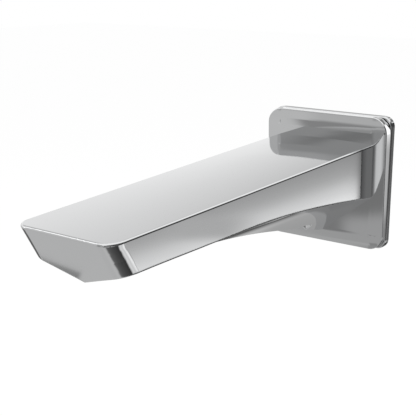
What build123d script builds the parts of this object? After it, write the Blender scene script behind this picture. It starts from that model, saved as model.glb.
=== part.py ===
from build123d import *
import math
import os

# All lengths are millimetres. The wall is the plane Y = 0, the spout reaches out along -Y,
# and the origin is the centre of the threaded inlet at the wall. A reach is a distance
# from the wall, so a reach of 10 lies at Y = -10.

# Wall plate, its gasket, and the seal between it and the flange
plate_width = 60.6
plate_height = 60.2
least_corner = 1.0
wall_plate_corner = 4.5
wall_plate_thickness = 3.0
wall_plate_edge = 0.7
wall_plate_hole_clearance = 0.6
gasket_inset = 4.0
gasket_band = 6.0
gasket_thickness = 1.5
gasket_clearance = 0.05
seal_inset = 1.6
seal_band = 8.0
seal_thickness = 0.6

# Flange of the spout: a leaning flat face that curves back all round, up to the rim
flange_corner = 7.0
flange_reach = 7.8
face_lean = 1.8
margin_width = 6.5
margin_tilt = 10.0
margin_strip = 0.5
flange_undercut = 3.0
flange_edge = 0.35

# Outer form of the spout
spout_reach = 175.4
root_half_width = 24.3
tip_half_width = 21.4
root_top = 18.1
tip_top = 12.1
root_crown = 0.6
tip_crown = 0.1
front_slant = 30.5
front_corner = 6.0
top_edge = 0.8
under_edge = 0.4

# Lower edge of the side and the keel: each is two straight runs with a long bend between
side_bend_reach = 75.0
side_bend_height = 1.6
side_root_slope = 0.107
side_tip_slope = -0.014
side_bend_half = 30.0
keel_bend_reach = 68.8
keel_bend_height = -11.5
keel_root_slope = 0.21
keel_tip_slope = 0.0505
keel_bend_half = 34.0

# Cast walls and the hollows inside
cast_wall = 3.0
socket_wall = 3.2
bulkhead_thickness = 4.0

# Inlet adapter: a turned bush that screws on the wall nipple and carries the spout
inlet_radius = 9.5
inlet_thread_length = 12.0
inlet_relief_radius = 10.2
inlet_relief_width = 2.2
adapter_head_radius = 12.6
adapter_head_reach = 19.0
adapter_neck_radius = 10.0
adapter_reach = 43.0
adapter_bore_radius = 6.0
adapter_key_flats = 12.0
adapter_key_depth = 10.0
adapter_chamfer = 0.8
socket_clearance = 0.1
socket_end_gap = 0.5
drill_overrun = 0.5
inlet_washer_thickness = 1.5
inlet_washer_clearance = 0.1

# Two sealing rings on the neck of the adapter
ring_section = 2.4
ring_squeeze = 0.3
first_ring_reach = 34.0
ring_pitch = 4.5
ring_count = 2
ring_groove_width = 3.0
ring_clearance = 0.02

# Set screw that locks the spout on its adapter from below
screw_reach = 27.0
screw_radius = 3.0
screw_length = 8.0
screw_chamfer = 0.6
screw_key_flats = 3.0
screw_key_depth = 3.5
screw_clearance = 0.03
screw_recess_radius = 4.6
screw_boss_radius = 6.5
screw_groove_depth = 0.8
screw_groove_width = 6.8

# Outlet in the underside near the tip, with its flow straightener
outlet_setback = 28.4
outlet_radius = 12.0
outlet_boss_wall = 2.6
outlet_mouth = -2.8
outlet_shoulder_radius = 8.8
outlet_shoulder_thickness = 1.4
outlet_washer_thickness = 1.4
housing_height = 8.2
housing_wall = 1.2
housing_lip = 1.0
housing_clearance = 0.05
housing_notch_width = 2.4
housing_notch_depth = 1.0
housing_notch_count = 4
housing_notch_turn = 45.0
straightener_thickness = 3.0
straightener_rim = 1.0
straightener_cell = 1.9
straightener_rib = 0.45
straightener_rings = 4
spacer_height = 1.6
spacer_wall = 1.2
screen_thickness = 0.4
screen_rim = 1.2
screen_opening = 1.3
screen_wire = 0.5
screen_count = 2
screen_turn = 45.0
insert_clearance = 0.05

# Reaches, heights and radii that follow from the sizes above
flange_back = wall_plate_thickness + seal_thickness
undercut_inset = (flange_reach - flange_back) * math.tan(math.radians(flange_undercut))
margin_turn = math.radians(margin_tilt)
margin_radius = margin_width / math.sin(margin_turn)
margin_bevel = margin_radius * math.tan(margin_turn / 2) + margin_strip
socket_head_radius = adapter_head_radius + socket_clearance
socket_neck_radius = adapter_neck_radius + socket_clearance
ring_groove_radius = socket_neck_radius - (ring_section - ring_squeeze)
ring_reaches = [first_ring_reach + ring_pitch * i for i in range(ring_count)]
inlet_depth = inlet_thread_length + inlet_relief_width
waterway_start = adapter_reach + bulkhead_thickness
screw_seat = -(adapter_neck_radius - screw_groove_depth)
screw_foot = screw_seat - screw_length
outlet_reach = spout_reach - outlet_setback
housing_top = outlet_mouth + housing_height
shoulder_height = housing_top + outlet_washer_thickness
outlet_boss_top = shoulder_height + outlet_shoulder_thickness
insert_radius = outlet_radius - housing_clearance - housing_wall - insert_clearance
clear_of_all = 2 * plate_height


def wall_section(reach):
    """Plane parallel to the wall, seen from the room: X to the right, Z up."""
    return Plane(origin=(0, -reach, 0), x_dir=(1, 0, 0), z_dir=(0, -1, 0))


def between(reach, at_root, at_tip):
    """Straight change from the flange face to the tip."""
    share = (reach - flange_reach) / (spout_reach - flange_reach)
    return at_root + (at_tip - at_root) * share


def bent_line(reach, bend_reach, bend_height, root_slope, tip_slope, half):
    """Height of a line made of two straight runs with a parabola between them."""
    run = reach - bend_reach
    if run < -half:
        return bend_height + root_slope * run
    if run > half:
        return bend_height + tip_slope * run
    middle = (root_slope + tip_slope) / 2 * run
    sag = (tip_slope - root_slope) / (4 * half) * (run ** 2 + half ** 2)
    return bend_height + middle + sag


def side_height(reach):
    return bent_line(reach, side_bend_reach, side_bend_height, side_root_slope,
                     side_tip_slope, side_bend_half)


def keel_height(reach):
    return bent_line(reach, keel_bend_reach, keel_bend_height, keel_root_slope,
                     keel_tip_slope, keel_bend_half)


def top_height(reach):
    return between(reach, root_top, tip_top)


def half_width(reach):
    return between(reach, root_half_width, tip_half_width)


def spout_section(reach, inset=0.0):
    """Five-sided section: slightly crowned top, upright sides and a V-shaped keel."""
    slope = (side_height(reach) - keel_height(reach)) / half_width(reach)
    wide = half_width(reach) - inset
    keel = keel_height(reach) + inset * math.sqrt(1 + slope ** 2)
    side = keel + slope * wide
    top = top_height(reach) - inset
    crown = between(reach, root_crown, tip_crown)
    roof = ThreePointArc((-wide, top), (0, top + crown), (wide, top))
    rest = Polyline((wide, top), (wide, side), (0, keel), (-wide, side), (-wide, top))
    return wall_section(reach) * make_face([roof.edge()] + rest.edges())


def spout_form(start, end, inset=0.0):
    """Loft through evenly spaced sections, about as far apart as the spout is wide."""
    steps = math.ceil((end - start) / root_half_width)
    reaches = [start + (end - start) * i / steps for i in range(steps + 1)]
    return loft([spout_section(reach, inset) for reach in reaches])


def front_plane(inset=0.0):
    """Slanted front face; its normal points out of the spout, forwards and down."""
    slant = math.radians(front_slant)
    normal = Vector(0, -math.cos(slant), -math.sin(slant))
    return Plane(origin=Vector(0, -spout_reach, tip_top) - normal * inset,
                 x_dir=(1, 0, 0), z_dir=normal)


def trimmed_form(start, inset=0.0):
    """Spout form from a reach to the slanted front, all walls moved in by the inset."""
    long_form = spout_form(start, spout_reach + front_corner, inset)
    return split(long_form, front_plane(inset), keep=Keep.BOTTOM)


def turned(*profile):
    """Ring or bush turned about the inlet axis from (radius, reach) corners."""
    points = [(radius, -reach) for radius, reach in profile]
    return revolve(make_face(Polyline(*points, close=True).edges()), Axis.Y)


def upright_ring(outer, inner, bottom, height, reach):
    """Upright ring or, with no inner radius, a disc, on the outlet's axis."""
    ring = Circle(outer)
    if inner:
        ring -= Circle(inner)
    return Pos(0, -reach, bottom) * extrude(ring, height)


def plate_outline(corner, inset=0.0):
    corner = max(corner - inset, least_corner)
    return RectangleRounded(plate_width - 2 * inset, plate_height - 2 * inset, corner)


def plate_slab(outline, start, end):
    """Flat slab parallel to the wall between two reaches."""
    return extrude(wall_section(start) * outline, end - start)


def cylinder_to_wall(radius, start, end):
    """Cylinder on the inlet axis between two reaches."""
    return plate_slab(Circle(radius), start, end)


def make_flange():
    """Flange with a leaning face, a margin that curves back to the rim, and undercut sides."""
    lean = math.radians(face_lean)
    normal = Vector(0, -math.cos(lean), -math.sin(lean))
    face = Plane(origin=(0, -flange_reach, 0), x_dir=(1, 0, 0), z_dir=normal)
    back = wall_section(flange_back) * plate_outline(flange_corner, undercut_inset)
    block = extrude(back, flange_reach, taper=-flange_undercut)
    flange = split(block, face, keep=Keep.BOTTOM)
    front = flange.faces().sort_by_distance(face.origin)[0]
    margin_drop = margin_bevel * math.tan(margin_turn)
    flange = chamfer(front.edges(), margin_bevel, margin_drop, reference=front)
    front = flange.faces().sort_by_distance(face.origin)[0]
    flange = fillet(front.edges(), margin_radius)
    rim = [edge for edge in flange.edges() if is_rim(edge)]
    return fillet(rim, flange_edge)


def is_rim(edge):
    """Edge of the flange between its curved margin and its side wall."""
    ends = (edge @ 0, edge @ 1)
    touch = margin_strip / 2
    beside = [max(abs(end.X) - plate_width / 2, abs(end.Z) - plate_height / 2) for end in ends]
    in_front = [end.Y < -flange_back - touch for end in ends]
    return min(beside) > -touch and all(in_front)


def make_spout_shell():
    """Outer form with rounded front corners and softened edges."""
    form = trimmed_form(flange_back)
    corners = [edge for edge in form.edges() if is_front_corner(edge)]
    form = fillet(corners, front_corner)
    roof = [edge for edge in form.edges() if is_roof_edge(edge)]
    form = fillet(roof, top_edge)
    under = [edge for edge in form.edges() if is_under_edge(edge)]
    return fillet(under, under_edge)


def is_front_corner(edge):
    middle = edge.center()
    near_side = abs(abs(middle.X) - tip_half_width) < top_edge
    return near_side and middle.Y < -spout_reach + front_corner


def is_roof_edge(edge):
    middle = edge.center()
    near_top = middle.Z > top_height(-middle.Y) - top_edge / 2
    return near_top and middle.Y < -flange_reach


def is_under_edge(edge):
    """Keel, lower edges of the sides and lower edge of the slanted front."""
    middle = edge.center()
    low = middle.Z < side_height(-middle.Y) + under_edge
    return low and middle.Y < -flange_reach - plate_width / 2


def make_rear_pocket():
    """Cored hollow behind the flange, around the socket and the screw's boss."""
    pocket = spout_form(flange_back, adapter_reach, cast_wall)
    pocket -= cylinder_to_wall(socket_head_radius + socket_wall, flange_back,
                               adapter_head_reach + socket_wall)
    pocket -= cylinder_to_wall(socket_neck_radius + socket_wall, flange_back, adapter_reach)
    pocket -= upright_ring(screw_boss_radius, 0, -clear_of_all, clear_of_all, screw_reach)
    return pocket


def make_waterway():
    """Cored passage from the bulkhead to the front wall, around the outlet's boss."""
    waterway = trimmed_form(waterway_start, cast_wall)
    boss = upright_ring(outlet_radius + outlet_boss_wall, 0, -clear_of_all,
                        clear_of_all + outlet_boss_top, outlet_reach)
    return waterway - boss


def make_socket():
    """Stepped bore that slides over the adapter and opens into the waterway."""
    head = cylinder_to_wall(socket_head_radius, 0, adapter_head_reach + socket_end_gap)
    neck = cylinder_to_wall(socket_neck_radius, 0, waterway_start + drill_overrun)
    return head + neck


def make_screw_hole():
    """Tapped hole from the keel up into the socket, with a round recess for its mouth."""
    hole = upright_ring(screw_radius + screw_clearance, 0, -clear_of_all,
                        clear_of_all + screw_seat, screw_reach)
    recess = upright_ring(screw_recess_radius, 0, -clear_of_all,
                          clear_of_all + screw_foot, screw_reach)
    return hole + recess


def make_outlet_bore():
    """Threaded outlet from below, its shoulder, and the hole through the shoulder."""
    bore = upright_ring(outlet_radius, 0, -clear_of_all,
                        clear_of_all + shoulder_height, outlet_reach)
    throat = upright_ring(outlet_shoulder_radius, 0, outlet_mouth,
                          outlet_boss_top - outlet_mouth + drill_overrun, outlet_reach)
    return bore + throat


def make_spout_body():
    body = make_spout_shell() + make_flange()
    body -= make_rear_pocket()
    body -= make_waterway()
    body -= make_socket()
    body -= make_screw_hole()
    body -= make_outlet_bore()
    return body


def make_wall_plate():
    plate = plate_slab(plate_outline(wall_plate_corner), 0, wall_plate_thickness)
    front = plate.faces().sort_by(Axis.Y)[0]
    plate = fillet(front.edges(), wall_plate_edge)
    hole = adapter_head_radius + wall_plate_hole_clearance
    plate -= cylinder_to_wall(hole, 0, wall_plate_thickness)
    groove = gasket_outline(gasket_inset, gasket_band)
    return plate - plate_slab(groove, 0, gasket_thickness)


def gasket_outline(inset, band):
    return plate_outline(flange_corner, inset) - plate_outline(flange_corner, inset + band)


def make_wall_gasket():
    outline = gasket_outline(gasket_inset + gasket_clearance,
                             gasket_band - 2 * gasket_clearance)
    return plate_slab(outline, 0, gasket_thickness)


def make_plate_seal():
    outline = gasket_outline(seal_inset, seal_band)
    return plate_slab(outline, wall_plate_thickness, flange_back)


def make_inlet_adapter():
    """Bush with a threaded mouth, a stepped outside, grooves and a hexagonal key hole."""
    bush = turned(
        (inlet_radius, 0),
        (adapter_head_radius, 0),
        (adapter_head_radius, adapter_head_reach - adapter_chamfer),
        (adapter_head_radius - adapter_chamfer, adapter_head_reach),
        (adapter_neck_radius, adapter_head_reach),
        (adapter_neck_radius, adapter_reach - adapter_chamfer),
        (adapter_neck_radius - adapter_chamfer, adapter_reach),
        (adapter_bore_radius, adapter_reach),
        (adapter_bore_radius, inlet_depth),
        (inlet_relief_radius, inlet_depth),
        (inlet_relief_radius, inlet_thread_length),
        (inlet_radius, inlet_thread_length),
    )
    for reach in ring_reaches:
        bush -= groove_around(reach, ring_groove_width, ring_groove_radius)
    bush -= groove_around(screw_reach, screw_groove_width, -screw_seat)
    key = RegularPolygon(adapter_key_flats / 2, 6, major_radius=False)
    return bush - plate_slab(key, adapter_reach - adapter_key_depth, adapter_reach)


def groove_around(reach, width, floor_radius):
    """Square groove in the neck of the adapter."""
    outside = socket_head_radius
    return turned(
        (floor_radius, reach - width / 2),
        (outside, reach - width / 2),
        (outside, reach + width / 2),
        (floor_radius, reach + width / 2),
    )


def make_inlet_washer():
    """Flat washer in the relief at the bottom of the thread, where the nipple ends."""
    outside = inlet_relief_radius - inlet_washer_clearance
    return turned(
        (adapter_bore_radius, inlet_depth - inlet_washer_thickness),
        (outside, inlet_depth - inlet_washer_thickness),
        (outside, inlet_depth),
        (adapter_bore_radius, inlet_depth),
    )


def make_socket_ring(reach):
    """Sealing ring squeezed between the floor of its groove and the socket."""
    height = socket_neck_radius - ring_groove_radius - 2 * ring_clearance
    middle = (socket_neck_radius + ring_groove_radius) / 2
    section = SlotOverall(ring_section + ring_squeeze, height, rotation=90)
    return revolve(Pos(middle, -reach) * section, Axis.Y)


def make_set_screw():
    """Grub screw with a hexagonal key hole in its foot and a chamfered point."""
    screw = upright_ring(screw_radius, 0, screw_foot, screw_length, screw_reach)
    screw = chamfer(screw.edges().filter_by(GeomType.CIRCLE), screw_chamfer)
    key = extrude(RegularPolygon(screw_key_flats / 2, 6, major_radius=False), screw_key_depth)
    return screw - Pos(0, -screw_reach, screw_foot) * key


def make_outlet_housing():
    """Threaded ring that holds the insert, with a lip and notches for its key."""
    outer = outlet_radius - housing_clearance
    inner = outer - housing_wall
    housing = upright_ring(outer, inner, outlet_mouth, housing_height, outlet_reach)
    housing += upright_ring(outer, inner - housing_lip, outlet_mouth, housing_wall,
                            outlet_reach)
    for i in range(housing_notch_count):
        notch = Box(2 * outer, housing_notch_width, housing_notch_depth,
                    align=(Align.MIN, Align.CENTER, Align.MIN))
        turn = Rot(0, 0, housing_notch_turn + 360 * i / housing_notch_count)
        housing -= Pos(0, -outlet_reach, outlet_mouth) * turn * notch
    return housing


def make_flow_straightener():
    """Disc pierced by a honeycomb of six-sided cells."""
    disc = Circle(insert_radius)
    pitch = straightener_cell + straightener_rib
    spots = HexLocations(pitch / 2, 2 * straightener_rings + 1, 2 * straightener_rings + 1,
                         major_radius=False)
    reach_limit = insert_radius - straightener_rim - straightener_cell / 2
    inside = [spot for spot in spots if spot.position.length < reach_limit]
    cell = RegularPolygon(straightener_cell / 2, 6, major_radius=False)
    disc -= [spot * cell for spot in inside]
    return lift_into_housing(disc, 0, straightener_thickness)


def lift_into_housing(outline, bottom, height):
    """Place a flat insert above the housing's lip, at a height measured from the lip."""
    lip_top = outlet_mouth + housing_wall
    return Pos(0, -outlet_reach, lip_top + bottom) * extrude(outline, height)


def make_screen_spacer():
    ring = Circle(insert_radius) - Circle(insert_radius - spacer_wall)
    return lift_into_housing(ring, straightener_thickness, spacer_height)


def make_flow_screen(index):
    """Thin disc of square mesh; the second screen lies on the first, turned against it."""
    disc = Circle(insert_radius)
    pitch = screen_opening + screen_wire
    count = math.floor(2 * insert_radius / pitch)
    reach_limit = insert_radius - screen_rim - screen_opening / 2
    spots = [spot for spot in GridLocations(pitch, pitch, count, count)
             if spot.position.length < reach_limit]
    disc -= [spot * Rectangle(screen_opening, screen_opening) for spot in spots]
    bottom = straightener_thickness + spacer_height + index * screen_thickness
    turn = Rot(0, 0, screen_turn * index)
    return lift_into_housing(turn * disc, bottom, screen_thickness)


def make_screen_clamp():
    """Ring that presses the screens down, up to the top of the housing."""
    bottom = straightener_thickness + spacer_height + screen_count * screen_thickness
    height = housing_height - housing_wall - bottom
    ring = Circle(insert_radius) - Circle(insert_radius - spacer_wall)
    return lift_into_housing(ring, bottom, height)


def make_outlet_washer():
    return upright_ring(outlet_radius - housing_clearance, outlet_shoulder_radius,
                        housing_top, outlet_washer_thickness, outlet_reach)


def make_all():
    parts = {
        "spout_body": make_spout_body(),
        "wall_plate": make_wall_plate(),
        "wall_gasket": make_wall_gasket(),
        "plate_seal": make_plate_seal(),
        "inlet_adapter": make_inlet_adapter(),
        "inlet_washer": make_inlet_washer(),
        "set_screw": make_set_screw(),
        "outlet_housing": make_outlet_housing(),
        "flow_straightener": make_flow_straightener(),
        "screen_spacer": make_screen_spacer(),
        "screen_clamp": make_screen_clamp(),
        "outlet_washer": make_outlet_washer(),
    }
    for number, reach in enumerate(ring_reaches, start=1):
        parts[f"socket_ring_{number}"] = make_socket_ring(reach)
    for index in range(screen_count):
        parts[f"flow_screen_{index + 1}"] = make_flow_screen(index)
    return parts


os.makedirs("parts", exist_ok=True)
for node, solid in make_all().items():
    export_step(solid, f"parts/{node}.step")
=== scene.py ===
import math
from collections import namedtuple

import bpy
from mathutils import Matrix, Vector

bl_info = {
    "name": "Bath Spout Studio",
    "version": (1, 0, 0),
    "blender": (4, 5, 0),
    "location": "3D View > Sidebar > Bath Spout",
    "description": "Dresses a chromed bath spout with materials and sets its studio",
    "category": "Object",
}

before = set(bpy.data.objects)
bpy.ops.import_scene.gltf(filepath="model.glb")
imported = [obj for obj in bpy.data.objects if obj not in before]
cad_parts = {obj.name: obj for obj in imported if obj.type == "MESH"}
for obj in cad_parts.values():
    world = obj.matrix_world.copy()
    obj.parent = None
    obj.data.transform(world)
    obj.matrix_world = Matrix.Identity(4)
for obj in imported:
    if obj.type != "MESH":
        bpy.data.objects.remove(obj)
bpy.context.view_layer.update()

# Nodes of the frame, by the finish that they get
CHROME_NODES = ("spout_body", "wall_plate", "outlet_housing")
BRASS_NODES = ("inlet_adapter",)
STEEL_NODES = ("set_screw", "flow_screen_1", "flow_screen_2")
RUBBER_NODES = ("wall_gasket", "plate_seal", "outlet_washer", "socket_ring_1", "socket_ring_2")
FIBRE_NODES = ("inlet_washer",)
PLASTIC_NODES = ("flow_straightener", "screen_spacer", "screen_clamp")

# Metals: the scale of the uneven patches, and the roughness where they are smoothest and dullest
Haze = namedtuple("Haze", "scale lowest highest")
CHROME_HAZE_SCALE = 45.0
CHROME_HAZE_SPREAD = 0.02
BRASS_HAZE = Haze(120.0, 0.18, 0.30)
STEEL_HAZE = Haze(400.0, 0.20, 0.35)
STEEL_COLOUR = (0.55, 0.55, 0.56)
STEEL_GRAIN_SCALE = 4000.0
STEEL_GRAIN_DEPTH = 0.00001
TURNING_PITCH = 0.00025
TURNING_DEPTH = 0.000006

# Moulded and pressed pieces: the grain's scale and depth, and the roughness as for metals
Grain = namedtuple("Grain", "scale depth lowest highest")
RUBBER_GRAIN = Grain(3000.0, 0.00004, 0.55, 0.75)
FIBRE_GRAIN = Grain(1800.0, 0.00006, 0.70, 0.90)
PLASTIC_GRAIN = Grain(2200.0, 0.00002, 0.35, 0.50)
GRAINS_TO_A_PATCH = 6.0

# The lightest and darkest of a mottled colour, as shares of it
RUBBER_MOTTLE = (1.4, 0.7)
PLASTIC_MOTTLE = (1.0, 0.85)
FIBRE_LIGHT = (0.42, 0.09, 0.06)
FIBRE_DARK = (0.26, 0.05, 0.04)

# How fine the noise is broken up, and what it mostly stays between
HAZE_DETAIL = 3.0
GRAIN_DETAIL = 5.0
NOISE_LOW = 0.3
NOISE_HIGH = 0.7

# The polish rounds the spout's lower edges: ahead of the flange and below this height
EDGE_ROOT = -0.016
UNDER_EDGE_TOP = 0.0042
EDGE_SAMPLES = 8

# The photograph's picture size, which the lens shift is worked out from
PICTURE_SIZE = 416.0

# The lamp is aimed at the spout's middle
SPOUT_MIDDLE = Vector((0.0, -0.09, 0.0))
FLOOR_COLOUR = (0.9, 0.9, 0.9, 1.0)
FLOOR_ROUGHNESS = 0.9
WHITE = (1.0, 1.0, 1.0, 1.0)

# Light that the chrome mirrors: the brightness all round the spout's long axis. Angles run from
# +X over +Z, in degrees; the second list is the finer one, for the flank and the tip's corner
TUNNEL_STOPS = (
    (-180.0, 0.50),
    (-172.0, 0.53),
    (-137.0, 0.51),
    (-108.0, 0.50),
    (-98.0, 0.54),
    (-88.0, 0.54),
    (-84.0, 0.30),
    (-80.0, 0.12),
    (-62.0, 0.08),
    (-46.0, 0.05),
    (-27.0, 0.05),
    (-8.0, 0.05),
    (12.0, 0.05),
    (32.0, 0.07),
    (44.0, 0.30),
    (54.0, 1.10),
    (62.0, 2.00),
    (100.0, 2.00),
    (111.0, 1.15),
    (120.0, 0.66),
    (133.0, 0.51),
    (146.0, 0.58),
    (152.0, 0.72),
    (158.0, 0.85),
    (164.0, 0.93),
    (172.0, 0.96),
    (177.0, 0.80),
    (180.0, 0.50),
)
SIDE_STOPS = (
    (-46.0, 0.05),
    (-39.8, 0.04),
    (-37.0, 0.62),
    (-35.2, 0.80),
    (-32.8, 0.74),
    (-30.7, 0.70),
    (-28.2, 1.00),
    (-26.9, 0.98),
    (-25.8, 0.78),
    (-25.2, 0.70),
    (-24.5, 0.55),
    (-23.9, 0.46),
    (-23.0, 0.40),
    (-22.0, 0.35),
    (-21.0, 0.18),
    (-19.5, 0.06),
    (-8.0, 0.05),
)

# Soft boxes and flags in front of the light tunnel, in degrees of azimuth and elevation. Each
# lies over the ones above it in the list
Flag = namedtuple("Flag", ("name", "azimuth", "half_width", "elevation", "half_height",
                           "soft_across", "soft_up", "brightness"))
FLAGS = (
    Flag("Right side shade", -32.0, 42.0, -14.0, 10.0, 8.0, 12.0, 0.14),
    Flag("Right side floor", -46.0, 26.0, -26.0, 3.0, 8.0, 8.0, 0.38),
    Flag("Front wall", -112.0, 24.0, -14.0, 44.0, 4.0, 6.0, 0.43),
    Flag("Upper left card", -132.0, 10.0, 17.0, 12.0, 3.0, 4.0, 0.49),
    Flag("Front haze", -108.0, 14.0, 11.0, 8.0, 3.0, 6.0, 0.37),
    Flag("Joint shade", -116.0, 3.0, 10.3, 0.4, 4.0, 1.6, 0.25),
    Flag("Horizon", -108.0, 13.0, 0.5, 1.5, 2.0, 3.0, 0.49),
    Flag("Dusk", -108.0, 12.0, -11.0, 5.5, 1.2, 3.5, 0.27),
    Flag("Low dark flag", -108.0, 13.0, -14.3, 3.3, 2.0, 1.6, 0.20),
    Flag("Low front glow", -108.0, 14.0, -25.0, 6.2, 4.0, 1.0, 0.38),
    Flag("Low left shade", -120.2, 1.3, -19.5, 2.5, 1.2, 1.5, 0.22),
    Flag("Keel joint shade", -110.0, 5.0, -33.0, 1.5, 2.5, 2.5, 0.27),
    Flag("Keel glow", -112.0, 8.0, -39.0, 3.0, 3.0, 4.0, 0.30),
    Flag("Left soft box", -131.5, 10.2, -8.0, 9.0, 1.0, 3.0, 0.57),
    Flag("Left upper box", -130.0, 9.7, -1.0, 3.0, 1.5, 1.5, 0.56),
    Flag("Right soft box", -77.8, 2.3, -12.0, 4.5, 4.5, 8.0, 0.85),
    Flag("Tip corner card", -55.0, 13.0, -38.0, 5.0, 4.0, 6.0, 0.47),
    Flag("Right shadow", -52.0, 8.0, -17.0, 3.0, 9.0, 6.0, 0.25),
    Flag("Right dark flag", -6.0, 34.0, -12.0, 4.0, 10.0, 7.0, 0.06),
    Flag("Under edge flag", 78.0, 27.0, -38.0, 13.0, 3.0, 3.0, 0.05),
    Flag("Back dark flag", 63.7, 2.5, -15.0, 5.0, 0.2, 8.0, 0.13),
    Flag("Back card", 73.5, 5.0, 3.0, 11.5, 2.0, 4.0, 1.25),
    Flag("Back low flag", 73.5, 5.0, -20.0, 4.0, 2.0, 5.0, 0.25),
    Flag("Corner flag", 86.0, 15.0, 22.5, 3.0, 3.0, 2.0, 0.20),
    Flag("Plate top flag", 116.0, 5.0, 8.3, 1.5, 2.0, 1.5, 0.42),
    Flag("Keel flag", 109.0, 6.0, -36.0, 7.0, 6.0, 5.0, 0.34),
    Flag("Keel dark flag", 118.0, 6.0, -19.0, 2.5, 6.0, 7.0, 0.07),
    Flag("Tip card", -147.0, 14.0, 34.0, 26.0, 4.0, 4.0, 1.35),
    Flag("Left low flag", 157.0, 16.0, -33.0, 7.0, 5.0, 5.0, 0.12),
    Flag("Side end shade", 40.0, 2.5, -20.3, 0.6, 2.5, 1.2, 0.45),
    Flag("Flank shade", 51.5, 0.8, -15.9, 0.3, 3.5, 0.8, 0.48),
    Flag("Plate mirror shade", -136.5, 6.5, 15.0, 11.0, 2.0, 2.0, 0.60),
    Flag("Rim shade", 70.5, 2.5, -12.5, 1.5, 2.0, 2.0, 0.48),
    Flag("Tip lens", -177.35, 1.4, -46.2, 1.6, 0.12, 0.35, 0.24),
)


# Helpers for node trees
def grey(value):
    """A neutral colour of that brightness."""
    return (value, value, value, 1.0)


def new_group(name, inputs, outputs):
    """A node group whose inputs are (name, kind, default) and whose outputs are (name, kind)."""
    group = bpy.data.node_groups.new(name, "ShaderNodeTree")
    for label, kind, default in inputs:
        socket = group.interface.new_socket(label, in_out="INPUT", socket_type=kind)
        socket.default_value = default
    for label, kind in outputs:
        group.interface.new_socket(label, in_out="OUTPUT", socket_type=kind)
    return group, group.nodes.new("NodeGroupInput"), group.nodes.new("NodeGroupOutput")


def place_effect(tree, name, **values):
    """Put a shared node group in a tree, with its named inputs set."""
    node = tree.nodes.new("ShaderNodeGroup")
    node.node_tree = bpy.data.node_groups.get(name) or EFFECT_MAKERS[name](name)
    for label, value in values.items():
        node.inputs[label.replace("_", " ")].default_value = value
    return node


def math_node(tree, operation, first, second=None, clamp=False):
    """A Math node; each operand is a socket or a number. Returns its output."""
    node = tree.nodes.new("ShaderNodeMath")
    node.operation = operation
    node.use_clamp = clamp
    for index, operand in enumerate((first, second)):
        if operand is None:
            continue
        if isinstance(operand, bpy.types.NodeSocket):
            tree.links.new(operand, node.inputs[index])
        else:
            node.inputs[index].default_value = operand
    return node.outputs[0]


def mix_colours(tree, share, first, second):
    """A mix of two colours; the second is a socket or a plain colour. Returns its output."""
    mix = tree.nodes.new("ShaderNodeMix")
    mix.data_type = "RGBA"
    tree.links.new(share, mix.inputs["Factor"])
    tree.links.new(first, mix.inputs["A"])
    if isinstance(second, bpy.types.NodeSocket):
        tree.links.new(second, mix.inputs["B"])
    else:
        mix.inputs["B"].default_value = second
    return mix.outputs["Result"]


def split_place(tree, kind):
    """The X, Y and Z of a Texture Coordinate output."""
    place = tree.nodes.new("ShaderNodeTexCoord")
    parts = tree.nodes.new("ShaderNodeSeparateXYZ")
    tree.links.new(place.outputs[kind], parts.inputs[0])
    return [parts.outputs[axis] for axis in "XYZ"]


def surface_noise(tree, scale, detail):
    """Noise over the surface, its scale a socket. Returns its output."""
    place = tree.nodes.new("ShaderNodeTexCoord")
    noise = tree.nodes.new("ShaderNodeTexNoise")
    noise.inputs["Detail"].default_value = detail
    tree.links.new(place.outputs["Object"], noise.inputs["Vector"])
    tree.links.new(scale, noise.inputs["Scale"])
    return noise.outputs["Fac"]


def smooth_band(tree, value, centre, half, softness):
    """One inside centre plus or minus half, falling smoothly to zero over the softness."""
    offset = math_node(tree, "ABSOLUTE", math_node(tree, "SUBTRACT", value, centre))
    fade = tree.nodes.new("ShaderNodeMapRange")
    fade.interpolation_type = "SMOOTHSTEP"
    fade.inputs["To Min"].default_value = 1.0
    fade.inputs["To Max"].default_value = 0.0
    tree.links.new(offset, fade.inputs["Value"])
    tree.links.new(half, fade.inputs["From Min"])
    tree.links.new(math_node(tree, "ADD", half, softness), fade.inputs["From Max"])
    return fade.outputs["Result"]


# Effects that the materials and the room share
def make_flag_group(name):
    """Mask of a soft-edged rectangle on the sky, in degrees of azimuth and elevation."""
    number = "NodeSocketFloat"
    group, given, result = new_group(
        name,
        [
            ("Azimuth", number, 0.0),
            ("Elevation", number, 0.0),
            ("Centre Azimuth", number, 0.0),
            ("Half Width", number, 10.0),
            ("Centre Elevation", number, 0.0),
            ("Half Height", number, 10.0),
            ("Softness Across", number, 3.0),
            ("Softness Up", number, 3.0),
        ],
        [("Mask", number)],
    )
    sockets = given.outputs
    across = smooth_band(group, sockets["Azimuth"], sockets["Centre Azimuth"],
                         sockets["Half Width"], sockets["Softness Across"])
    upright = smooth_band(group, sockets["Elevation"], sockets["Centre Elevation"],
                          sockets["Half Height"], sockets["Softness Up"])
    group.links.new(math_node(group, "MULTIPLY", across, upright), result.inputs["Mask"])
    return group


def make_haze_group(name):
    """Roughness of a polished or moulded surface, a little uneven from place to place."""
    number = "NodeSocketFloat"
    group, given, result = new_group(
        name,
        [("Scale", number, 60.0), ("Lowest", number, 0.03), ("Highest", number, 0.06)],
        [("Roughness", number)],
    )
    spread = group.nodes.new("ShaderNodeMapRange")
    spread.inputs["From Min"].default_value = NOISE_LOW
    spread.inputs["From Max"].default_value = NOISE_HIGH
    noise = surface_noise(group, given.outputs["Scale"], HAZE_DETAIL)
    group.links.new(noise, spread.inputs["Value"])
    group.links.new(given.outputs["Lowest"], spread.inputs["To Min"])
    group.links.new(given.outputs["Highest"], spread.inputs["To Max"])
    group.links.new(spread.outputs["Result"], result.inputs["Roughness"])
    return group


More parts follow.
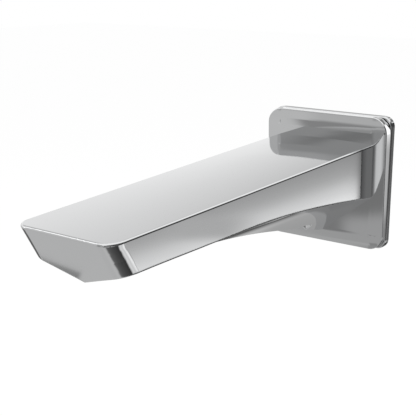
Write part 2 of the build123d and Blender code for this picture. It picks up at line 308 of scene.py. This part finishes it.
def make_grain_group(name):
    """Height and a light-and-dark mottle for rubber, fibre, moulded plastic and steel."""
    number = "NodeSocketFloat"
    colour = "NodeSocketColor"
    group, given, result = new_group(
        name,
        [
            ("Scale", number, 2500.0),
            ("Light", colour, grey(0.6)),
            ("Dark", colour, grey(0.4)),
        ],
        [("Colour", colour), ("Height", number)],
    )
    noise = surface_noise(group, given.outputs["Scale"], GRAIN_DETAIL)
    mottle = mix_colours(group, noise, given.outputs["Dark"], given.outputs["Light"])
    group.links.new(mottle, result.inputs["Colour"])
    group.links.new(noise, result.inputs["Height"])
    return group


def make_turning_group(name):
    """Fine grooves of a lathe tool, round the inlet axis, as a height."""
    number = "NodeSocketFloat"
    group, given, result = new_group(name, [("Pitch", number, 0.0002)], [("Height", number)])
    x, y, z = split_place(group, "Object")
    across = math_node(group, "POWER", x, 2.0)
    upright = math_node(group, "POWER", z, 2.0)
    radius = math_node(group, "SQRT", math_node(group, "ADD", across, upright))
    along = math_node(group, "ADD", radius, y)
    turns = math_node(group, "DIVIDE", along, given.outputs["Pitch"])
    wave = math_node(group, "SINE", math_node(group, "MULTIPLY", turns, math.tau))
    group.links.new(wave, result.inputs["Height"])
    return group


def make_edge_group(name):
    """Radius that the polish gives the lower edges ahead of the flange; none elsewhere."""
    number = "NodeSocketFloat"
    group, given, result = new_group(name, [("Radius", number, 0.001)], [("Radius", number)])
    _, y, z = split_place(group, "Object")
    low = math_node(group, "LESS_THAN", z, UNDER_EDGE_TOP)
    ahead = math_node(group, "LESS_THAN", y, EDGE_ROOT)
    mask = math_node(group, "MULTIPLY", low, ahead)
    radius = math_node(group, "MULTIPLY", mask, given.outputs["Radius"])
    group.links.new(radius, result.inputs["Radius"])
    return group


EFFECT_MAKERS = {
    "Studio flag": make_flag_group,
    "Uneven polish": make_haze_group,
    "Moulded grain": make_grain_group,
    "Turning marks": make_turning_group,
    "Edge polish": make_edge_group,
}


# Materials
def new_material(name):
    """A material with one Principled shader. Returns the material, its tree and shader."""
    material = bpy.data.materials.new(name)
    material.use_nodes = True
    tree = material.node_tree
    return material, tree, tree.nodes["Principled BSDF"]


def new_metal(name, colour, haze):
    """A metal of one colour with an uneven polish. Returns the material, its tree and shader."""
    material, tree, shader = new_material(name)
    shader.inputs["Base Color"].default_value = (*colour, 1.0)
    shader.inputs["Metallic"].default_value = 1.0
    roughen(tree, shader, haze)
    return material, tree, shader


def roughen(tree, shader, haze):
    """Let a haze vary the shader's roughness."""
    node = place_effect(tree, "Uneven polish", Scale=haze.scale, Lowest=haze.lowest,
                        Highest=haze.highest)
    tree.links.new(node.outputs["Roughness"], shader.inputs["Roughness"])


def bump_from(tree, shader, height, distance):
    """Join a height to the shader's normal."""
    bump = tree.nodes.new("ShaderNodeBump")
    bump.inputs["Strength"].default_value = 1.0
    bump.inputs["Distance"].default_value = distance
    tree.links.new(height, bump.inputs["Height"])
    tree.links.new(bump.outputs["Normal"], shader.inputs["Normal"])


def make_chrome(settings):
    """Polished chrome plate: a neutral mirror, rounded by the polish along the lower edges."""
    smoothest = settings.chrome_roughness
    haze = Haze(CHROME_HAZE_SCALE, smoothest, smoothest + CHROME_HAZE_SPREAD)
    material, tree, shader = new_metal("Polished chrome plate", settings.chrome_colour, haze)
    rounding = place_effect(tree, "Edge polish", Radius=settings.edge_rounding)
    edges = tree.nodes.new("ShaderNodeBevel")
    edges.samples = EDGE_SAMPLES
    tree.links.new(rounding.outputs["Radius"], edges.inputs["Radius"])
    tree.links.new(edges.outputs["Normal"], shader.inputs["Normal"])
    return material


def make_brass(settings):
    """Brass off the lathe, with its tool marks."""
    material, tree, shader = new_metal("Turned brass", settings.brass_colour, BRASS_HAZE)
    marks = place_effect(tree, "Turning marks", Pitch=TURNING_PITCH)
    bump_from(tree, shader, marks.outputs["Height"], TURNING_DEPTH)
    return material


def make_steel():
    """Dull stainless steel with a fine grain."""
    material, tree, shader = new_metal("Stainless steel", STEEL_COLOUR, STEEL_HAZE)
    grain = place_effect(tree, "Moulded grain", Scale=STEEL_GRAIN_SCALE)
    bump_from(tree, shader, grain.outputs["Height"], STEEL_GRAIN_DEPTH)
    return material


def make_grained(name, light, dark, grain):
    """Rubber, fibre or plastic with a moulded grain."""
    material, tree, shader = new_material(name)
    mottle = place_effect(tree, "Moulded grain", Scale=grain.scale, Light=(*light, 1.0),
                          Dark=(*dark, 1.0))
    tree.links.new(mottle.outputs["Colour"], shader.inputs["Base Color"])
    roughen(tree, shader, Haze(grain.scale / GRAINS_TO_A_PATCH, grain.lowest, grain.highest))
    bump_from(tree, shader, mottle.outputs["Height"], grain.depth)
    return material


def mottled(colour, shares):
    """The lightest and darkest of a mottled colour."""
    return [Vector(colour) * share for share in shares]


def dress(names, material):
    """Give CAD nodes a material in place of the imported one."""
    for name in names:
        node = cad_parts[name]
        node.data.materials.clear()
        node.data.materials.append(material)


# Camera, floor, lamp and room
def set_camera(scene, settings):
    """Stand the camera where the photograph was taken from, with its lens and optical centre."""
    azimuth = settings.camera_azimuth
    elevation = settings.camera_elevation
    back = Vector((math.sin(azimuth) * math.cos(elevation),
                   -math.cos(azimuth) * math.cos(elevation), math.sin(elevation)))
    right = Vector((math.cos(azimuth), math.sin(azimuth), 0.0))
    turn = Matrix((right, back.cross(right), back)).transposed()
    roll = Matrix.Rotation(settings.camera_roll, 3, "Z")
    aim = (turn @ roll).to_quaternion()
    data = bpy.data.cameras.new("Camera")
    data.lens = data.sensor_width * settings.focal_pixels / PICTURE_SIZE
    data.shift_x = 0.5 - settings.centre_x / PICTURE_SIZE
    data.shift_y = settings.centre_y / PICTURE_SIZE - 0.5
    camera = bpy.data.objects.new("Camera", data)
    camera.matrix_world = Matrix.LocRotScale(settings.camera_place, aim, None)
    scene.collection.objects.link(camera)
    scene.camera = camera


def make_floor(settings):
    """A pale floor far below the spout: white to the camera, but for the spout's shadow."""
    bpy.ops.object.select_all(action="DESELECT")
    bpy.ops.mesh.primitive_plane_add(size=settings.floor_size,
                                     location=(0, 0, -settings.floor_drop))
    floor = bpy.context.object
    floor.name = "Floor"
    material, tree, shader = new_material("Pale floor")
    shader.inputs["Base Color"].default_value = FLOOR_COLOUR
    shader.inputs["Roughness"].default_value = FLOOR_ROUGHNESS
    white = tree.nodes.new("ShaderNodeEmission")
    seen = tree.nodes.new("ShaderNodeLightPath")
    mix = tree.nodes.new("ShaderNodeMixShader")
    direct = math_node(tree, "ADD", seen.outputs["Is Camera Ray"], seen.outputs["Is Glossy Ray"])
    direct = math_node(tree, "ADD", direct, seen.outputs["Is Transmission Ray"], clamp=True)
    share = math_node(tree, "MULTIPLY", direct, 1.0 - settings.floor_shade)
    tree.links.new(share, mix.inputs["Fac"])
    tree.links.new(shader.outputs["BSDF"], mix.inputs[1])
    tree.links.new(white.outputs["Emission"], mix.inputs[2])
    tree.links.new(mix.outputs["Shader"], tree.nodes["Material Output"].inputs["Surface"])
    floor.data.materials.append(material)
    floor.visible_glossy = False


def make_lamp(scene, settings):
    """A square area lamp over the spout, which the chrome doesn't mirror as a hard square."""
    data = bpy.data.lights.new("Overhead soft box", "AREA")
    data.shape = "SQUARE"
    data.size = settings.lamp_size
    data.energy = settings.lamp_power
    lamp = bpy.data.objects.new("Overhead soft box", data)
    place = Vector(settings.lamp_place)
    aim = (SPOUT_MIDDLE - place).to_track_quat("-Z", "Y")
    lamp.matrix_world = Matrix.LocRotScale(place, aim, None)
    lamp.visible_glossy = False
    lamp.visible_camera = False
    scene.collection.objects.link(lamp)


def make_room(scene, settings):
    """The world: plain white to the camera, soft boxes and flags to the chrome."""
    world = bpy.data.worlds.new("Studio")
    scene.world = world
    world.use_nodes = True
    tree = world.node_tree
    x, y, z = split_place(tree, "Generated")
    azimuth = math_node(tree, "DEGREES", math_node(tree, "ARCTAN2", y, x))
    elevation = math_node(tree, "DEGREES", math_node(tree, "ARCSINE", z))
    roll = math_node(tree, "DEGREES", math_node(tree, "ARCTAN2", z, x))
    colour = tunnel_colour(tree, TUNNEL_STOPS, "B_SPLINE", roll)
    fine = tunnel_colour(tree, SIDE_STOPS, "LINEAR", roll)
    above = math_node(tree, "GREATER_THAN", roll, SIDE_STOPS[0][0])
    below = math_node(tree, "LESS_THAN", roll, SIDE_STOPS[-1][0])
    colour = mix_colours(tree, math_node(tree, "MULTIPLY", above, below), colour, fine)
    for flag in FLAGS:
        colour = hang_flag(tree, flag, azimuth, elevation, colour)
    light = tree.nodes.new("ShaderNodeVectorMath")
    light.operation = "SCALE"
    light.inputs["Scale"].default_value = settings.room_light
    tree.links.new(colour, light.inputs[0])
    seen = tree.nodes.new("ShaderNodeLightPath")
    direct = math_node(tree, "ADD", seen.outputs["Is Camera Ray"],
                       seen.outputs["Is Transmission Ray"], clamp=True)
    colour = mix_colours(tree, direct, light.outputs["Vector"], WHITE)
    tree.links.new(colour, tree.nodes["Background"].inputs["Color"])


def tunnel_colour(tree, stops, interpolation, roll):
    """The light tunnel round the spout's long axis, as a ramp from the first stop to the last."""
    first, last = stops[0][0], stops[-1][0]
    reach = tree.nodes.new("ShaderNodeMapRange")
    reach.inputs["From Min"].default_value = first
    reach.inputs["From Max"].default_value = last
    tree.links.new(roll, reach.inputs["Value"])
    ramp = tree.nodes.new("ShaderNodeValToRGB")
    ramp.color_ramp.interpolation = interpolation
    elements = ramp.color_ramp.elements
    while len(elements) < len(stops):
        elements.new(0.5)
    for element, (angle, brightness) in zip(elements, stops):
        element.position = (angle - first) / (last - first)
        element.color = grey(brightness)
    tree.links.new(reach.outputs["Result"], ramp.inputs["Fac"])
    return ramp.outputs["Color"]


def hang_flag(tree, flag, azimuth, elevation, colour):
    """Lay one soft box or flag over the colour so far."""
    node = place_effect(tree, "Studio flag",
                        Centre_Azimuth=flag.azimuth, Half_Width=flag.half_width,
                        Centre_Elevation=flag.elevation, Half_Height=flag.half_height,
                        Softness_Across=flag.soft_across, Softness_Up=flag.soft_up)
    node.label = flag.name
    tree.links.new(azimuth, node.inputs["Azimuth"])
    tree.links.new(elevation, node.inputs["Elevation"])
    return mix_colours(tree, node.outputs["Mask"], colour, grey(flag.brightness))


# Settings, steps and sidebar
class SpoutFinishSettings(bpy.types.PropertyGroup):
    """Colours and polish of the spout."""
    chrome_colour: bpy.props.FloatVectorProperty(
        name="Chrome colour", description="What the chrome mirrors of white light",
        subtype="COLOR", size=3, min=0.0, max=1.0, default=(0.645, 0.65, 0.655))
    chrome_roughness: bpy.props.FloatProperty(
        name="Chrome roughness", description="Roughness where the polish is best",
        subtype="FACTOR", min=0.0, max=1.0, default=0.03)
    edge_rounding: bpy.props.FloatProperty(
        name="Edge rounding", description="How far the polish rounds off the lower edges",
        unit="LENGTH", min=0.0, default=0.0009)
    brass_colour: bpy.props.FloatVectorProperty(
        name="Brass colour", description="Colour of the turned inlet adapter",
        subtype="COLOR", size=3, min=0.0, max=1.0, default=(0.72, 0.52, 0.24))
    rubber_colour: bpy.props.FloatVectorProperty(
        name="Rubber colour", description="Colour of the seals",
        subtype="COLOR", size=3, min=0.0, max=1.0, default=(0.03, 0.03, 0.03))
    plastic_colour: bpy.props.FloatVectorProperty(
        name="Plastic colour", description="Colour of the flow straightener and its rings",
        subtype="COLOR", size=3, min=0.0, max=1.0, default=(0.62, 0.63, 0.64))


class SpoutStudioSettings(bpy.types.PropertyGroup):
    """Camera, floor and light."""
    camera_place: bpy.props.FloatVectorProperty(
        name="Camera place", description="Where the camera stands",
        subtype="TRANSLATION", unit="LENGTH", size=3, default=(0.20125, -0.36878, 0.09293))
    camera_azimuth: bpy.props.FloatProperty(
        name="Camera azimuth", description="Turn of the camera to the right of the spout",
        subtype="ANGLE", default=math.radians(36.459))
    camera_elevation: bpy.props.FloatProperty(
        name="Camera elevation", description="Tilt of the camera down to the spout",
        subtype="ANGLE", default=math.radians(15.24))
    camera_roll: bpy.props.FloatProperty(
        name="Camera roll", description="Turn of the camera about its own line of sight",
        subtype="ANGLE", default=math.radians(0.136))
    focal_pixels: bpy.props.FloatProperty(
        name="Focal length", description="Focal length in pixels of the picture",
        min=1.0, default=917.57)
    centre_x: bpy.props.FloatProperty(
        name="Optical centre X", description="Optical centre from the picture's left, in pixels",
        default=208.22)
    centre_y: bpy.props.FloatProperty(
        name="Optical centre Y", description="Optical centre from the picture's top, in pixels",
        default=217.29)
    floor_drop: bpy.props.FloatProperty(
        name="Floor drop", description="How far the floor lies below the inlet",
        unit="LENGTH", min=0.05, default=0.25)
    floor_size: bpy.props.FloatProperty(
        name="Floor size", description="Width of the floor", unit="LENGTH", min=1.0, default=8.0)
    floor_shade: bpy.props.FloatProperty(
        name="Floor shading", description="Share of the floor's look that takes the shadow",
        subtype="FACTOR", min=0.0, max=1.0, default=0.08)
    lamp_place: bpy.props.FloatVectorProperty(
        name="Lamp place", description="Where the overhead soft box hangs",
        subtype="TRANSLATION", unit="LENGTH", size=3, default=(-0.25, 0.1, 0.9))
    lamp_size: bpy.props.FloatProperty(
        name="Lamp size", description="Width of the overhead soft box",
        unit="LENGTH", min=0.01, default=0.8)
    lamp_power: bpy.props.FloatProperty(
        name="Lamp power", description="Power of the overhead soft box",
        unit="POWER", min=0.0, default=7.0)
    room_light: bpy.props.FloatProperty(
        name="Room light", description="Brightness of the room that the chrome mirrors",
        min=0.0, default=1.23)


class SPOUT_OT_finish_metal(bpy.types.Operator):
    """Give the castings, the adapter, the screw and the screens their metal finishes"""
    bl_idname = "spout.finish_metal"
    bl_label = "Finish metal"

    def execute(self, context):
        settings = context.scene.spout_finish
        dress(CHROME_NODES, make_chrome(settings))
        dress(BRASS_NODES, make_brass(settings))
        dress(STEEL_NODES, make_steel())
        return {"FINISHED"}


class SPOUT_OT_finish_seals(bpy.types.Operator):
    """Give the seals, washers and the outlet's insert their finishes"""
    bl_idname = "spout.finish_seals"
    bl_label = "Finish seals and insert"

    def execute(self, context):
        settings = context.scene.spout_finish
        light, dark = mottled(settings.rubber_colour, RUBBER_MOTTLE)
        dress(RUBBER_NODES, make_grained("Moulded rubber", light, dark, RUBBER_GRAIN))
        dress(FIBRE_NODES, make_grained("Pressed fibre", FIBRE_LIGHT, FIBRE_DARK, FIBRE_GRAIN))
        light, dark = mottled(settings.plastic_colour, PLASTIC_MOTTLE)
        dress(PLASTIC_NODES, make_grained("Moulded plastic", light, dark, PLASTIC_GRAIN))
        return {"FINISHED"}


class SPOUT_OT_set_stage(bpy.types.Operator):
    """Set the camera, the pale floor, the lamp and the room that the chrome mirrors"""
    bl_idname = "spout.set_stage"
    bl_label = "Set stage"

    def execute(self, context):
        settings = context.scene.spout_studio
        set_camera(context.scene, settings)
        make_floor(settings)
        make_lamp(context.scene, settings)
        make_room(context.scene, settings)
        context.scene.view_settings.view_transform = "Standard"
        return {"FINISHED"}


class SPOUT_PT_sidebar(bpy.types.Panel):
    """Lists the settings and the steps"""
    bl_idname = "SPOUT_PT_sidebar"
    bl_label = "Bath Spout"
    bl_space_type = "VIEW_3D"
    bl_region_type = "UI"
    bl_category = "Bath Spout"

    def draw(self, context):
        layout = self.layout
        for settings in (context.scene.spout_finish, context.scene.spout_studio):
            box = layout.box()
            for name in settings.__annotations__:
                box.prop(settings, name)
        for operator in OPERATORS:
            layout.operator(operator.bl_idname)


SETTINGS = (SpoutFinishSettings, SpoutStudioSettings)
OPERATORS = (SPOUT_OT_finish_metal, SPOUT_OT_finish_seals, SPOUT_OT_set_stage)
CLASSES = (*SETTINGS, *OPERATORS, SPOUT_PT_sidebar)


def register():
    """Make the classes and the scene's settings known."""
    for item in CLASSES:
        bpy.utils.register_class(item)
    bpy.types.Scene.spout_finish = bpy.props.PointerProperty(type=SpoutFinishSettings)
    bpy.types.Scene.spout_studio = bpy.props.PointerProperty(type=SpoutStudioSettings)


def unregister():
    """Take back what register did, last first."""
    del bpy.types.Scene.spout_studio
    del bpy.types.Scene.spout_finish
    for item in reversed(CLASSES):
        bpy.utils.unregister_class(item)


def main():
    """Dress the spout, set its stage and keep both boxes."""
    register()
    bpy.ops.spout.finish_metal()
    bpy.ops.spout.finish_seals()
    bpy.ops.spout.set_stage()


if __name__ == "__main__":
    main()
